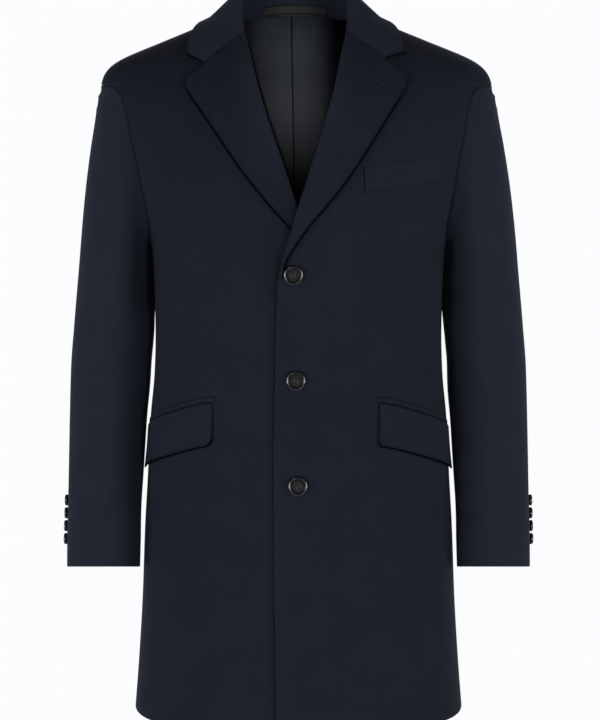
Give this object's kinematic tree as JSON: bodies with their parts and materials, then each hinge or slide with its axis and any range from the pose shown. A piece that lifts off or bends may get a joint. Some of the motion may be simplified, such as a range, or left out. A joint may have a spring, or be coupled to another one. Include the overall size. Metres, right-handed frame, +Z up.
{
  "type": "overcoat",
  "caption": "Single-breasted wool overcoat with notch lapels, chest welt, slanted flap pockets and buttoned cuffs, filled out as if worn, open at neck, hem and cuffs.",
  "frame": {"origin": "middle of the coat at the height of the neck seam, where it hangs from the wearer's neck and shoulders", "axes": "+X to the wearer's left, +Y to the back, +Z up along the body"},
  "size_m": [0.61, 0.2955, 0.9428],
  "materials": {
    "wool": "matt dark navy wool, finely milled, with a soft short nap",
    "lining": "charcoal satin lining",
    "loop": "charcoal satin ribbon",
    "button": "polished near-black resin"
  },
  "bodies": {
    "root": {"front_left": "wool", "front_right": "wool", "back_left": "wool", "back_right": "wool", "lapel_left": "wool", "lapel_right": "wool", "collar": "wool", "sleeve_left_top": "wool", "sleeve_left_under": "wool", "sleeve_right_top": "wool", "sleeve_right_under": "wool", "flap_left": "wool", "flap_right": "wool", "jet_left": "wool", "jet_right": "wool", "chest_welt": "wool", "lining_left": "lining", "lining_right": "lining", "hanger_loop": "loop", "front_button_1": "button", "front_button_2": "button", "front_button_3": "button", "cuff_button_left_1": "button", "cuff_button_left_2": "button", "cuff_button_left_3": "button", "cuff_button_left_4": "button", "cuff_button_right_1": "button", "cuff_button_right_2": "button", "cuff_button_right_3": "button", "cuff_button_right_4": "button"}
  },
  "joints": []
}
